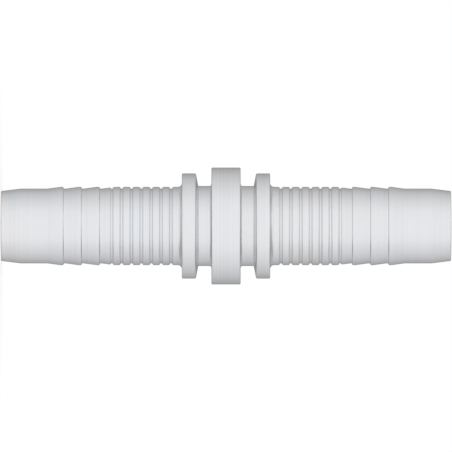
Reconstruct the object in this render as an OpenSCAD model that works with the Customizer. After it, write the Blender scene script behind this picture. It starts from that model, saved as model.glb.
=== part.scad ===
// Double-ended crimp hose joiner: two barbed hose tails back to back on a plain collar.
// It is turned from one round bar, and it stands on one of its end faces.
// Both halves are alike, so one half is drawn, from the middle of the collar outwards, and mirrored.

/* [Bore] */
// Diameter of the through bore
bore_d = 9.5; // [4:0.1:11]
// Chamfer at the two mouths of the bore
mouth_chamfer = 0.2; // [0.05:0.05:0.4]

/* [Collar] */
// Diameter of the middle collar, left at bar size
collar_d = 20; // [18:0.1:30]
// Width of the collar
collar_w = 5; // [2:0.1:12]
// Broken edge on the two rims of the collar
collar_edge = 0.15; // [0.05:0.05:0.5]

/* [Ferrule grooves] */
// Diameter at the floor of the grooves that the ferrules lock into
groove_d = 13.7; // [12:0.1:16]
// Width of a groove's floor, from the collar to the flange
groove_w = 2.25; // [1:0.05:6]
// Fillet between a groove's floor and the collar
groove_fillet = 0.35; // [0.05:0.05:0.8]

/* [Flanges] */
// Diameter of the flanges that hold the ferrules
flange_d = 18; // [15.5:0.1:24]
// Width of a flange at its root
flange_w = 2.8; // [1.5:0.05:6]
// How far a flange's inner face leans outwards from root to rim
flange_lean = 0.4; // [0.05:0.05:1]
// Rounding of a flange's inner rim
inner_rim_r = 0.3; // [0.05:0.05:0.6]
// Rounding of a flange's outer rim
outer_rim_r = 0.2; // [0.05:0.05:0.6]
// Fillet where a flange's outer face meets the hose tail
tail_fillet = 0.7; // [0.1:0.05:1.4]

/* [Hose tails] */
// Diameter over the grip land and the crests of the barbs
crest_d = 13.4; // [13:0.1:15]
// Diameter at the roots of the barbs and along the plain pilot
root_d = 12.8; // [12.2:0.1:13.2]
// Length of the grip land, from the flange to its last crest
land_l = 11.5; // [5:0.1:20]
// Number of barbs beyond the grip land
barb_n = 3; // [1:1:8]
// Distance from one barb to the next
barb_pitch = 3.1; // [2.9:0.05:6]
// Length of a barb's flat crest
crest_l = 0.5; // [0.1:0.05:0.7]
// Length of the ramp from a crest down to the root
ramp_l = 2.2; // [1:0.05:2.4]
// Run of a barb's steep back face
back_run = 0.1; // [0.02:0.02:0.3]
// Length of the plain pilot beyond the last ramp
pilot_l = 4.55; // [0.5:0.05:12]
// Length of the tapered lead at the tip
lead_l = 3.4; // [1:0.1:8]
// Diameter of the tip where the lead ends
tip_d = 12; // [11:0.1:12.6]
// Broken edge on the outer rim of an end face
tip_edge = 0.1; // [0.05:0.05:0.3]

/* [Grip grooves] */
// Distance from the flange to the middle of the first grip groove
grip_start = 1.85; // [1.3:0.05:4]
// Distance from one grip groove to the next
grip_pitch = 1.69; // [1.1:0.01:4]
// Width of a grip groove at the land
grip_w = 0.64; // [0.3:0.02:1]
// Width of a grip groove's floor
grip_floor_w = 0.26; // [0.06:0.02:0.6]
// Depth of a grip groove
grip_depth = 0.3; // [0.05:0.05:0.6]

/* [Hidden] */
$fn = 128;

bore_r = bore_d / 2;
collar_r = collar_d / 2;
groove_r = groove_d / 2;
flange_r = flange_d / 2;
crest_r = crest_d / 2;
root_r = root_d / 2;
tip_r = tip_d / 2;

// Heights above the middle of the collar
collar_z = collar_w / 2;
flange_in_z = collar_z + groove_w;
flange_out_z = flange_in_z + flange_w;
land_z = flange_out_z + land_l;
barb_zs = [for (i = [1 : barb_n]) land_z - crest_l - back_run + i * barb_pitch];
pilot_z = land_z + barb_n * barb_pitch + ramp_l;
lead_z = pilot_z + pilot_l;
end_z = lead_z + lead_l;

// The grip grooves fill the land, and the last may cut the head of its ramp
grip_zs = [for (z = [flange_out_z + grip_start : grip_pitch : land_z + ramp_l / 2]) z];
// Room that a cutter leaves outside the surface it cuts
cut_room = 1;
// How far a flat in an outline lies inside the rounding that covers it
tuck = 0.001;

// Angle by which the inner face of a flange leans, and the middle of the rounding on its rim
lean_a = atan(flange_lean / (flange_r - groove_r));
inner_rim_z = flange_in_z + flange_lean + inner_rim_r * (1 - sin(lean_a)) / cos(lean_a);
outer_rim_z = flange_out_z - outer_rim_r;
flat_r = inner_rim_r - tuck;

// Outline of the collar and its groove, from the bore outwards, as [radius, height]
collar_outline = [
    [bore_r, 0],
    [collar_r, 0],
    [collar_r, collar_z - collar_edge],
    [collar_r - collar_edge, collar_z],
    [groove_r, collar_z],
];

// Outline of a flange, with flats where the two roundings of its rim go
flange_outline = [
    [groove_r, flange_in_z],
    [flange_r - inner_rim_r + flat_r * sin(lean_a), inner_rim_z - flat_r * cos(lean_a)],
    [flange_r, inner_rim_z],
    [flange_r, outer_rim_z],
    [flange_r - outer_rim_r, flange_out_z],
    [crest_r, flange_out_z],
];

// Outline of the grip land and its ramp
land_outline = [
    [crest_r, land_z],
    [root_r, land_z + ramp_l],
];

// Outline of one barb, from the foot of its back face to the foot of its ramp
function barb_outline(z) = [
    [root_r, z],
    [crest_r, z + back_run],
    [crest_r, z + back_run + crest_l],
    [root_r, z + back_run + crest_l + ramp_l],
];

// Outline of the tapered lead, the end face and the mouth of the bore
tip_outline = [
    [root_r, lead_z],
    [tip_r, end_z - tip_edge],
    [tip_r - tip_edge, end_z],
    [bore_r + mouth_chamfer, end_z],
    [bore_r, end_z - mouth_chamfer],
];

// Concave fillet of radius r in the corner at the origin
module fillet(r) {
    difference() {
        square(r);
        translate([r, r]) circle(r);
    }
}

// Cutter for one grip groove across the land, with its middle at height z
module grip_cut(z) {
    floor_r = crest_r - grip_depth;
    translate([0, z])
        polygon([
            [floor_r, -grip_floor_w / 2],
            [crest_r, -grip_w / 2],
            [crest_r + cut_room, -grip_w / 2],
            [crest_r + cut_room, grip_w / 2],
            [crest_r, grip_w / 2],
            [floor_r, grip_floor_w / 2],
        ]);
}

// Section of one half, from the middle of the collar to the end face
module half_section() {
    difference() {
        polygon(concat(
            collar_outline,
            flange_outline,
            land_outline,
            [for (z = barb_zs) each barb_outline(z)],
            tip_outline
        ));
        for (z = grip_zs) grip_cut(z);
    }
    translate([groove_r, collar_z]) fillet(groove_fillet);
    translate([crest_r, flange_out_z]) fillet(tail_fillet);
    translate([flange_r - inner_rim_r, inner_rim_z]) circle(inner_rim_r);
    translate([flange_r - outer_rim_r, outer_rim_z]) circle(outer_rim_r);
}

module hose_joiner() {
    color("silver")
        translate([0, 0, end_z])
            rotate_extrude() {
                half_section();
                mirror([0, 1]) half_section();
            }
}

hose_joiner();
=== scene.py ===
"""Looks of a double-ended crimp hose joiner: bright zinc plate on turned steel, in soft studio light.

The fitting stands on its lower end face, with its bore along Z. The picture lies on its side: the camera
is rolled a quarter turn, so the fitting runs across the frame.
"""

import math

import bmesh
import bpy
from mathutils import Matrix, Vector


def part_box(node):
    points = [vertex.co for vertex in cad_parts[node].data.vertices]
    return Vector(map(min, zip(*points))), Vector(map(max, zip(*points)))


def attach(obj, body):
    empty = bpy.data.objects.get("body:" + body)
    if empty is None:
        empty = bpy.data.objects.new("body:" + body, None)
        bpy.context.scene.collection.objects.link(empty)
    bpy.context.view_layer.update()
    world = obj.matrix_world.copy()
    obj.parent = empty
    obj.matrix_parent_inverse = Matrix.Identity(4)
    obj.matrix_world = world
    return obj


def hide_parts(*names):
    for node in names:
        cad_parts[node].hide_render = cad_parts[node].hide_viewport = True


MM = 0.001

# Radii of the fitting
BORE_R = 4.75 * MM
COLLAR_R = 10 * MM
GROOVE_R = 6.85 * MM
FLANGE_R = 9 * MM
CREST_R = 6.7 * MM
ROOT_R = 6.4 * MM
TIP_R = 6 * MM

# Lengths along the fitting, from the middle of the collar outwards
COLLAR_W = 5 * MM
GROOVE_W = 2.25 * MM
FLANGE_W = 2.8 * MM
FLANGE_LEAN = 0.4 * MM
LAND_L = 11.5 * MM
BARB_COUNT = 3
BARB_PITCH = 3.1 * MM
CREST_L = 0.5 * MM
RAMP_L = 2.2 * MM
BACK_RUN = 0.1 * MM
PILOT_L = 4.55 * MM
LEAD_L = 3.4 * MM

# Grip grooves in the land
GRIP_COUNT = 7
GRIP_START = 1.85 * MM
GRIP_PITCH = 1.69 * MM
GRIP_W = 0.64 * MM
GRIP_FLOOR_W = 0.26 * MM
GRIP_DEPTH = 0.3 * MM

# Chamfers, and how far each rounding reaches from its corner
COLLAR_EDGE = 0.15 * MM
MOUTH_CHAMFER = 0.2 * MM
TIP_EDGE = 0.1 * MM
GROOVE_FILLET = 0.35 * MM
TAIL_FILLET = 0.7 * MM
INNER_RIM = 0.25 * MM
OUTER_RIM = 0.2 * MM
CREST_EDGE = 0.06 * MM
ROOT_EDGE = 0.05 * MM
CHAMFER_EDGE = 0.03 * MM
SOFT_BEND = 0.12 * MM

# Mesh fineness, and the holding points that keep flats flat near their ends
RING_STEPS = 128
FINE_SEGMENTS = 2
ROUND_SEGMENTS = 6
HOLD_GAP = 0.04 * MM
HOLD_MIN = 0.5 * MM
MIRROR_JOIN = 0.001 * MM
SEAM_JOIN = 0.0001 * MM

# The photograph's frame, and the fitting's length in it
FRAME_PX = 452
FITTING_PX = 450

# Colours of the zinc plate, and the range in which a noise mostly stays
ZINC_COOL = (0.78, 0.80, 0.835, 1)
ZINC_WARM = (0.803, 0.803, 0.814, 1)
NOISE_LOW = 0.3
NOISE_HIGH = 0.7

# Its fine turning marks, the wider bands among them, and its slow clouds
MARK_SIZE = 0.16 * MM
MARK_DEPTH = 0.005 * MM
# The marks' colour follows their bump: painted shade in their fine grooves and painted light on their
# ridges
MARK_PAINTED_SHADE = 0.02
BAND_SIZE = 1.2 * MM
BAND_SHADE = 0.01
RING_DETAIL = 2
CLOUD_SIZE = 9 * MM
CLOUD_DETAIL = 3

# Its gloss, which stretches across the rings, and how the bore is duller
PLATE_ROUGH = 0.2
ROUGH_SPREAD = 0.02
RING_GLOSS = 0.5
ACROSS_RINGS = 0.25
BORE_ROUGH = 0.35
BORE_SHADE = 0.15
BORE_BLEND = 0.1 * MM

# Camera
LENS_MM = 1500
SENSOR_MM = 36
VIEW_REACH = 10

# Floor and world
FLOOR_R = 0.08
FLOOR_SIDES = 96
FLOOR_GREY = 0.8
FLOOR_ROUGH = 0.9
FLOOR_GLOW = 0.3
WORLD_AMBIENT = 0.9

# Lamp and dome
LAMP_PLACE = (-0.2, -0.3, 0.75)
LAMP_SIZE = 0.5
LAMP_POWER = 0.12
DOME_R = 1
DOME_FINENESS = 5

# Greys of the dome near level, by how far back a direction points, from the front at -1
LEVEL_GREYS = [
    (-1, 1),
    (-0.707, 0.97),
    (-0.5, 0.915),
    (0, 0.79),
    (0.5, 0.64),
    (0.857, 0.46),
    (0.956, 0.35),
    (1, 0.28),
]

# Greys of its slopes above and below, by degrees round from the front, a little darker at the right
SLOPE_GREYS = [
    (-180, 0.26),
    (-150, 0.5),
    (-120, 0.55),
    (-90, 0.86),
    (0, 0.97),
    (45, 0.95),
    (80, 0.58),
    (105, 0.46),
    (130, 0.54),
    (155, 0.5),
    (180, 0.26),
]

# How upright a direction is where the slopes begin and where they have taken over
SLOPE_START = 0.28
SLOPE_FULL = 0.55

# How the dome dims towards its poles
POLE_GREYS = [(0, 1), (SLOPE_START, 1), (0.94, 0.88), (0.985, 0.6), (1, 0.6)]

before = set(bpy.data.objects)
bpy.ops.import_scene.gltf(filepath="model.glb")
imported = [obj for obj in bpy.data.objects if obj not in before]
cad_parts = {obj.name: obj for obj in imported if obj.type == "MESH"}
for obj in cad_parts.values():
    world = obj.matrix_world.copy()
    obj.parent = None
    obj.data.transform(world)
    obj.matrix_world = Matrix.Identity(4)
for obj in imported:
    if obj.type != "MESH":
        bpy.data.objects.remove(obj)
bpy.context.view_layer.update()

node_low, node_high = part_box("hose_joiner")
MID_Z = (node_low.z + node_high.z) / 2
LENGTH = node_high.z - node_low.z


def corner(r, z, reach, segments=FINE_SEGMENTS):
    """A corner of the outline, with how far its rounding reaches along each side."""
    return {"place": (r, z), "reach": reach, "segments": segments}


def ramp_radius(z, ramp_z):
    """Radius of the ramp that starts at height ramp_z."""
    return CREST_R - (CREST_R - ROOT_R) * (z - ramp_z) / RAMP_L


def grip_top(middle_z, side, land_z):
    """Where one side of a grip groove comes out of the land or of its ramp."""
    run = (GRIP_W - GRIP_FLOOR_W) / 2
    top_z = middle_z + side * GRIP_W / 2
    if top_z <= land_z:
        return CREST_R, top_z
    slope = (CREST_R - ROOT_R) / RAMP_L
    rise = GRIP_DEPTH / run
    floor_z = middle_z + side * GRIP_FLOOR_W / 2
    out = (ramp_radius(floor_z, land_z) - (CREST_R - GRIP_DEPTH)) / (rise + side * slope)
    return ramp_radius(floor_z + side * out, land_z), floor_z + side * out


def half_corners():
    """Corners of the outer outline of one half, from the collar to the mouth of the bore."""
    collar_z = COLLAR_W / 2
    flange_in_z = collar_z + GROOVE_W
    flange_out_z = flange_in_z + FLANGE_W
    land_z = flange_out_z + LAND_L
    pilot_z = land_z + BARB_COUNT * BARB_PITCH + RAMP_L
    end_z = pilot_z + PILOT_L + LEAD_L
    corners = [
        corner(COLLAR_R, collar_z - COLLAR_EDGE, CHAMFER_EDGE),
        corner(COLLAR_R - COLLAR_EDGE, collar_z, CHAMFER_EDGE),
        corner(GROOVE_R, collar_z, GROOVE_FILLET, ROUND_SEGMENTS),
        corner(GROOVE_R, flange_in_z, ROOT_EDGE),
        corner(FLANGE_R, flange_in_z + FLANGE_LEAN, INNER_RIM, ROUND_SEGMENTS),
        corner(FLANGE_R, flange_out_z, OUTER_RIM, ROUND_SEGMENTS),
        corner(CREST_R, flange_out_z, TAIL_FILLET, ROUND_SEGMENTS),
    ]
    for i in range(GRIP_COUNT):
        middle_z = flange_out_z + GRIP_START + i * GRIP_PITCH
        if middle_z > land_z > middle_z - GRIP_PITCH:
            corners.append(corner(CREST_R, land_z, SOFT_BEND))
        corners += [
            corner(*grip_top(middle_z, -1, land_z), CREST_EDGE),
            corner(CREST_R - GRIP_DEPTH, middle_z - GRIP_FLOOR_W / 2, ROOT_EDGE),
            corner(CREST_R - GRIP_DEPTH, middle_z + GRIP_FLOOR_W / 2, ROOT_EDGE),
            corner(*grip_top(middle_z, 1, land_z), CREST_EDGE),
        ]
    corners.append(corner(ROOT_R, land_z + RAMP_L, SOFT_BEND))
    for i in range(BARB_COUNT):
        foot_z = land_z - CREST_L - BACK_RUN + (i + 1) * BARB_PITCH
        crest_z = foot_z + BACK_RUN
        corners += [
            corner(ROOT_R, foot_z, ROOT_EDGE),
            corner(CREST_R, crest_z, CREST_EDGE),
            corner(CREST_R, crest_z + CREST_L, SOFT_BEND),
            corner(ROOT_R, crest_z + CREST_L + RAMP_L, SOFT_BEND),
        ]
    corners += [
        corner(ROOT_R, end_z - LEAD_L, SOFT_BEND),
        corner(TIP_R, end_z - TIP_EDGE, CHAMFER_EDGE),
        corner(TIP_R - TIP_EDGE, end_z, CHAMFER_EDGE),
        corner(BORE_R + MOUTH_CHAMFER, end_z, CHAMFER_EDGE),
        corner(BORE_R, end_z - MOUTH_CHAMFER, CHAMFER_EDGE),
    ]
    return corners


def half_outline(bm):
    """Half of the outline in the XZ plane, with rounded corners and holding points on its flats."""
    corners = half_corners()
    places = [(COLLAR_R, 0)] + [c["place"] for c in corners] + [(BORE_R, 0)]
    verts = [bm.verts.new((r, 0, z)) for r, z in places]
    for a, b in zip(verts, verts[1:]):
        bm.edges.new((a, b))
    for c, vert in zip(corners, verts[1:-1]):
        bmesh.ops.bevel(
            bm,
            geom=[vert],
            offset=c["reach"],
            offset_type="OFFSET",
            affect="VERTICES",
            segments=c["segments"],
            profile=0.5,
            material=-1,
        )
    for edge in [e for e in bm.edges if e.calc_length() > HOLD_MIN]:
        start, end = edge.verts
        vert = bmesh.utils.edge_split(edge, start, HOLD_GAP / edge.calc_length())[1]
        rest = next(e for e in vert.link_edges if e.other_vert(vert) == end)
        bmesh.utils.edge_split(rest, end, HOLD_GAP / rest.calc_length())


def mesh_object(bm, name, material):
    """Turns a bmesh into a smooth object with that material."""
    mesh = bpy.data.meshes.new(name)
    bm.to_mesh(mesh)
    bm.free()
    mesh.materials.append(material)
    mesh.shade_smooth()
    obj = bpy.data.objects.new(name, mesh)
    bpy.context.scene.collection.objects.link(obj)
    return obj


def turned_joiner(material):
    """The whole fitting, spun about Z from its outline and its mirror image."""
    bm = bmesh.new()
    half_outline(bm)
    bmesh.ops.mirror(bm, geom=bm.verts[:] + bm.edges[:], axis="Z", merge_dist=MIRROR_JOIN)
    bmesh.ops.spin(
        bm,
        geom=bm.verts[:] + bm.edges[:],
        cent=(0, 0, 0),
        axis=(0, 0, 1),
        angle=2 * math.pi,
        steps=RING_STEPS,
        use_merge=True,
        use_duplicate=False,
    )
    bmesh.ops.remove_doubles(bm, verts=bm.verts[:], dist=SEAM_JOIN)
    bmesh.ops.recalc_face_normals(bm, faces=bm.faces[:])
    bmesh.ops.translate(bm, verts=bm.verts[:], vec=(0, 0, MID_Z))
    return mesh_object(bm, "turned_joiner", material)


def new_material(name):
    """A node material with only its output and a Principled shader, its node tree and that shader."""
    material = bpy.data.materials.new(name)
    material.use_nodes = True
    return material, material.node_tree, material.node_tree.nodes["Principled BSDF"]


def turning_marks():
    """Fine rings round the fitting's sides and in circles on its end faces, and where the bore is."""
    group = bpy.data.node_groups.new("turning_marks", "ShaderNodeTree")
    group.interface.new_socket("Marks", in_out="OUTPUT", socket_type="NodeSocketFloat")
    group.interface.new_socket("Bands", in_out="OUTPUT", socket_type="NodeSocketFloat")
    group.interface.new_socket("Bore", in_out="OUTPUT", socket_type="NodeSocketFloat")
    output = group.nodes.new("NodeGroupOutput")
    place = group.nodes.new("ShaderNodeTexCoord")
    flat = group.nodes.new("ShaderNodeVectorMath")
    flat.operation = "MULTIPLY"
    flat.inputs[1].default_value = (1, 1, 0)
    group.links.new(place.outputs["Object"], flat.inputs[0])
    radius = group.nodes.new("ShaderNodeVectorMath")
    radius.operation = "LENGTH"
    group.links.new(flat.outputs["Vector"], radius.inputs[0])
    axes = group.nodes.new("ShaderNodeSeparateXYZ")
    group.links.new(place.outputs["Object"], axes.inputs[0])
    section = group.nodes.new("ShaderNodeCombineXYZ")
    group.links.new(radius.outputs["Value"], section.inputs["X"])
    group.links.new(axes.outputs["Z"], section.inputs["Y"])
    for socket, size in (("Marks", MARK_SIZE), ("Bands", BAND_SIZE)):
        noise = group.nodes.new("ShaderNodeTexNoise")
        noise.noise_dimensions = "2D"
        noise.inputs["Scale"].default_value = 1 / size
        noise.inputs["Detail"].default_value = RING_DETAIL
        group.links.new(section.outputs[0], noise.inputs["Vector"])
        group.links.new(noise.outputs["Fac"], output.inputs[socket])
    bore = group.nodes.new("ShaderNodeMapRange")
    bore.inputs["From Min"].default_value = BORE_R + BORE_BLEND
    bore.inputs["From Max"].default_value = BORE_R
    group.links.new(radius.outputs["Value"], bore.inputs["Value"])
    group.links.new(bore.outputs["Result"], output.inputs["Bore"])
    return group


def plate_clouds():
    """Slow, soft unevenness of the zinc plate."""
    group = bpy.data.node_groups.new("plate_clouds", "ShaderNodeTree")
    group.interface.new_socket("Cloud", in_out="OUTPUT", socket_type="NodeSocketFloat")
    output = group.nodes.new("NodeGroupOutput")
    place = group.nodes.new("ShaderNodeTexCoord")
    noise = group.nodes.new("ShaderNodeTexNoise")
    noise.inputs["Scale"].default_value = 1 / CLOUD_SIZE
    noise.inputs["Detail"].default_value = CLOUD_DETAIL
    group.links.new(place.outputs["Object"], noise.inputs["Vector"])
    group.links.new(noise.outputs["Fac"], output.inputs["Cloud"])
    return group


def add_group(tree, group):
    """Places a node group in a material."""
    node = tree.nodes.new("ShaderNodeGroup")
    node.node_tree = group
    return node


def spread(tree, source, low, high):
    """Maps a noise, which stays near a half, to values from low to high."""
    node = tree.nodes.new("ShaderNodeMapRange")
    node.inputs["From Min"].default_value = NOISE_LOW
    node.inputs["From Max"].default_value = NOISE_HIGH
    node.inputs["To Min"].default_value = low
    node.inputs["To Max"].default_value = high
    tree.links.new(source, node.inputs["Value"])
    return node.outputs["Result"]


def combine(tree, operation, a, b):
    """The result of one operation on two outputs."""
    node = tree.nodes.new("ShaderNodeMath")
    node.operation = operation
    tree.links.new(a, node.inputs[0])
    tree.links.new(b, node.inputs[1])
    return node.outputs[0]


def scaled(tree, source, factor, start):
    """An output times a factor, added to a start value."""
    node = tree.nodes.new("ShaderNodeMath")
    node.operation = "MULTIPLY_ADD"
    tree.links.new(source, node.inputs[0])
    node.inputs[1].default_value = factor
    node.inputs[2].default_value = start
    return node.outputs[0]


def zinc_plate():
    """Bright zinc over turned steel, thinner and duller in the bore."""
    material, tree, shader = new_material("zinc_plated_steel")
    marks = add_group(tree, turning_marks())
    clouds = add_group(tree, plate_clouds())
    tint = tree.nodes.new("ShaderNodeMix")
    tint.data_type = "RGBA"
    tint.inputs["A"].default_value = ZINC_COOL
    tint.inputs["B"].default_value = ZINC_WARM
    tree.links.new(spread(tree, clouds.outputs["Cloud"], 0, 1), tint.inputs["Factor"])
    # Colour darker in the marks' grooves and lighter on their ridges, as painted shade and light; the
    # bands vary it at random
    shade = combine(
        tree,
        "MULTIPLY",
        spread(tree, marks.outputs["Marks"], 1 - MARK_PAINTED_SHADE, 1 + MARK_PAINTED_SHADE),
        spread(tree, marks.outputs["Bands"], 1 - BAND_SHADE, 1 + BAND_SHADE),
    )
    shade = combine(tree, "MULTIPLY", shade, scaled(tree, marks.outputs["Bore"], -BORE_SHADE, 1))
    colour = tree.nodes.new("ShaderNodeVectorMath")
    colour.operation = "SCALE"
    tree.links.new(tint.outputs["Result"], colour.inputs[0])
    tree.links.new(shade, colour.inputs["Scale"])
    tree.links.new(colour.outputs["Vector"], shader.inputs["Base Color"])
    shader.inputs["Metallic"].default_value = 1
    rough = combine(
        tree,
        "ADD",
        spread(tree, marks.outputs["Bands"], PLATE_ROUGH - ROUGH_SPREAD, PLATE_ROUGH + ROUGH_SPREAD),
        spread(tree, clouds.outputs["Cloud"], -ROUGH_SPREAD, ROUGH_SPREAD),
    )
    rough = combine(tree, "ADD", rough, scaled(tree, marks.outputs["Bore"], BORE_ROUGH, 0))
    tree.links.new(rough, shader.inputs["Roughness"])
    shader.inputs["Anisotropic"].default_value = RING_GLOSS
    shader.inputs["Anisotropic Rotation"].default_value = ACROSS_RINGS
    round_axis = tree.nodes.new("ShaderNodeTangent")
    round_axis.direction_type = "RADIAL"
    round_axis.axis = "Z"
    tree.links.new(round_axis.outputs["Tangent"], shader.inputs["Tangent"])
    bump = tree.nodes.new("ShaderNodeBump")
    bump.inputs["Distance"].default_value = MARK_DEPTH
    tree.links.new(marks.outputs["Marks"], bump.inputs["Height"])
    tree.links.new(bump.outputs["Normal"], shader.inputs["Normal"])
    return material


def seen_rays(tree):
    """An output that is 1 on camera, mirror and see-through rays, and 0 on the rest."""
    path = tree.nodes.new("ShaderNodeLightPath")
    seen = combine(tree, "MAXIMUM", path.outputs["Is Camera Ray"], path.outputs["Is Glossy Ray"])
    return combine(tree, "MAXIMUM", seen, path.outputs["Is Transmission Ray"])


def pale_floor():
    """A pale disc that keeps the fitting's shadow and shows white round it.

    Reflections pass it by, so both ends of the fitting show the same studio.
    """
    material, tree, shader = new_material("pale_floor")
    shader.inputs["Base Color"].default_value = (FLOOR_GREY, FLOOR_GREY, FLOOR_GREY, 1)
    shader.inputs["Roughness"].default_value = FLOOR_ROUGH
    shader.inputs["Specular IOR Level"].default_value = 0
    shader.inputs["Emission Color"].default_value = (1, 1, 1, 1)
    tree.links.new(scaled(tree, seen_rays(tree), FLOOR_GLOW, 0), shader.inputs["Emission Strength"])
    bm = bmesh.new()
    bmesh.ops.create_circle(bm, cap_ends=True, radius=FLOOR_R, segments=FLOOR_SIDES)
    floor = mesh_object(bm, "floor", material)
    floor.visible_glossy = False


def studio_world():
    """White to look at and in mirrors, and a softer white as light."""
    world = bpy.data.worlds.new("studio")
    bpy.context.scene.world = world
    world.use_nodes = True
    tree = world.node_tree
    background = tree.nodes["Background"]
    background.inputs["Color"].default_value = (1, 1, 1, 1)
    level = tree.nodes.new("ShaderNodeMapRange")
    level.inputs["To Min"].default_value = WORLD_AMBIENT
    level.inputs["To Max"].default_value = 1
    tree.links.new(seen_rays(tree), level.inputs["Value"])
    tree.links.new(level.outputs["Result"], background.inputs["Strength"])


def photo_camera():
    """A long lens, level with the fitting and rolled so that +Z points to the right."""
    data = bpy.data.cameras.new("photo_camera")
    data.lens = LENS_MM
    data.sensor_width = SENSOR_MM
    data.clip_end = VIEW_REACH
    camera = bpy.data.objects.new("photo_camera", data)
    bpy.context.scene.collection.objects.link(camera)
    frame_width = LENGTH * FRAME_PX / FITTING_PX
    distance = frame_width * LENS_MM / SENSOR_MM
    right, up, back = Vector((0, 0, 1)), Vector((-1, 0, 0)), Vector((0, -1, 0))
    turned = Matrix((right, up, back)).transposed().to_4x4()
    camera.matrix_world = Matrix.Translation((0, -distance, MID_Z)) @ turned
    bpy.context.scene.camera = camera


def soft_lamp():
    """One large soft lamp high above the fitting, a little in front of it and to its -X side."""
    data = bpy.data.lights.new("soft_lamp", "AREA")
    data.shape = "DISK"
    data.size = LAMP_SIZE
    data.energy = LAMP_POWER
    lamp = bpy.data.objects.new("soft_lamp", data)
    bpy.context.scene.collection.objects.link(lamp)
    aim = Vector((0, 0, MID_Z))
    place = Vector(LAMP_PLACE)
    turned = (place - aim).to_track_quat("Z", "Y").to_matrix().to_4x4()
    lamp.matrix_world = Matrix.Translation(place) @ turned


def mapped(tree, source, low, high):
    """Maps an output from low to high to the range from 0 to 1, and stops there at both ends."""
    node = tree.nodes.new("ShaderNodeMapRange")
    node.inputs["From Min"].default_value = low
    node.inputs["From Max"].default_value = high
    tree.links.new(source, node.inputs["Value"])
    return node.outputs["Result"]


def greys(tree, source, stops):
    """Greys that follow an output, through stops of value and grey."""
    low, high = stops[0][0], stops[-1][0]
    ramp = tree.nodes.new("ShaderNodeValToRGB")
    elements = ramp.color_ramp.elements
    for stop in stops[1:-1]:
        elements.new((stop[0] - low) / (high - low))
    for element, (value, grey) in zip(elements, stops):
        element.position = (value - low) / (high - low)
        element.color = (grey, grey, grey, 1)
    tree.links.new(mapped(tree, source, low, high), ramp.inputs["Fac"])
    return ramp.outputs["Color"]


def dome_greys(tree, way):
    """Greys of the dome by direction from the fitting: one grading near level, another on the slopes."""
    axes = tree.nodes.new("ShaderNodeSeparateXYZ")
    tree.links.new(way, axes.inputs[0])
    upright = tree.nodes.new("ShaderNodeMath")
    upright.operation = "ABSOLUTE"
    tree.links.new(axes.outputs["Z"], upright.inputs[0])
    turn = combine(tree, "ARCTAN2", axes.outputs["X"], scaled(tree, axes.outputs["Y"], -1, 0))
    degrees = scaled(tree, turn, math.degrees(1), 0)
    both = tree.nodes.new("ShaderNodeMix")
    both.data_type = "RGBA"
    tree.links.new(greys(tree, axes.outputs["Y"], LEVEL_GREYS), both.inputs["A"])
    tree.links.new(greys(tree, degrees, SLOPE_GREYS), both.inputs["B"])
    tree.links.new(mapped(tree, upright.outputs[0], SLOPE_START, SLOPE_FULL), both.inputs["Factor"])
    dimmed = tree.nodes.new("ShaderNodeVectorMath")
    dimmed.operation = "MULTIPLY"
    tree.links.new(both.outputs["Result"], dimmed.inputs[0])
    tree.links.new(greys(tree, upright.outputs[0], POLE_GREYS), dimmed.inputs[1])
    return dimmed.outputs["Vector"]


def studio_dome():
    """A round tent, white in front and greyer behind, which only reflections show."""
    material, tree, shader = new_material("studio_dome")
    material.cycles.emission_sampling = "NONE"
    shader.inputs["Base Color"].default_value = (0, 0, 0, 1)
    shader.inputs["Roughness"].default_value = 1
    shader.inputs["Specular IOR Level"].default_value = 0
    place = tree.nodes.new("ShaderNodeTexCoord")
    from_middle = tree.nodes.new("ShaderNodeVectorMath")
    from_middle.operation = "SUBTRACT"
    from_middle.inputs[1].default_value = (0, 0, MID_Z)
    tree.links.new(place.outputs["Object"], from_middle.inputs[0])
    way = tree.nodes.new("ShaderNodeVectorMath")
    way.operation = "NORMALIZE"
    tree.links.new(from_middle.outputs["Vector"], way.inputs[0])
    tree.links.new(dome_greys(tree, way.outputs["Vector"]), shader.inputs["Emission Color"])
    shader.inputs["Emission Strength"].default_value = 1
    bm = bmesh.new()
    bmesh.ops.create_icosphere(bm, subdivisions=DOME_FINENESS, radius=DOME_R)
    bmesh.ops.translate(bm, verts=bm.verts[:], vec=(0, 0, MID_Z))
    dome = mesh_object(bm, "studio_dome", material)
    dome.visible_camera = False
    dome.visible_shadow = False
    dome.visible_diffuse = False


bpy.context.scene.view_settings.view_transform = "Standard"
studio_world()
pale_floor()
photo_camera()
soft_lamp()
studio_dome()

joiner = turned_joiner(zinc_plate())
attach(joiner, "root")
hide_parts("hose_joiner")
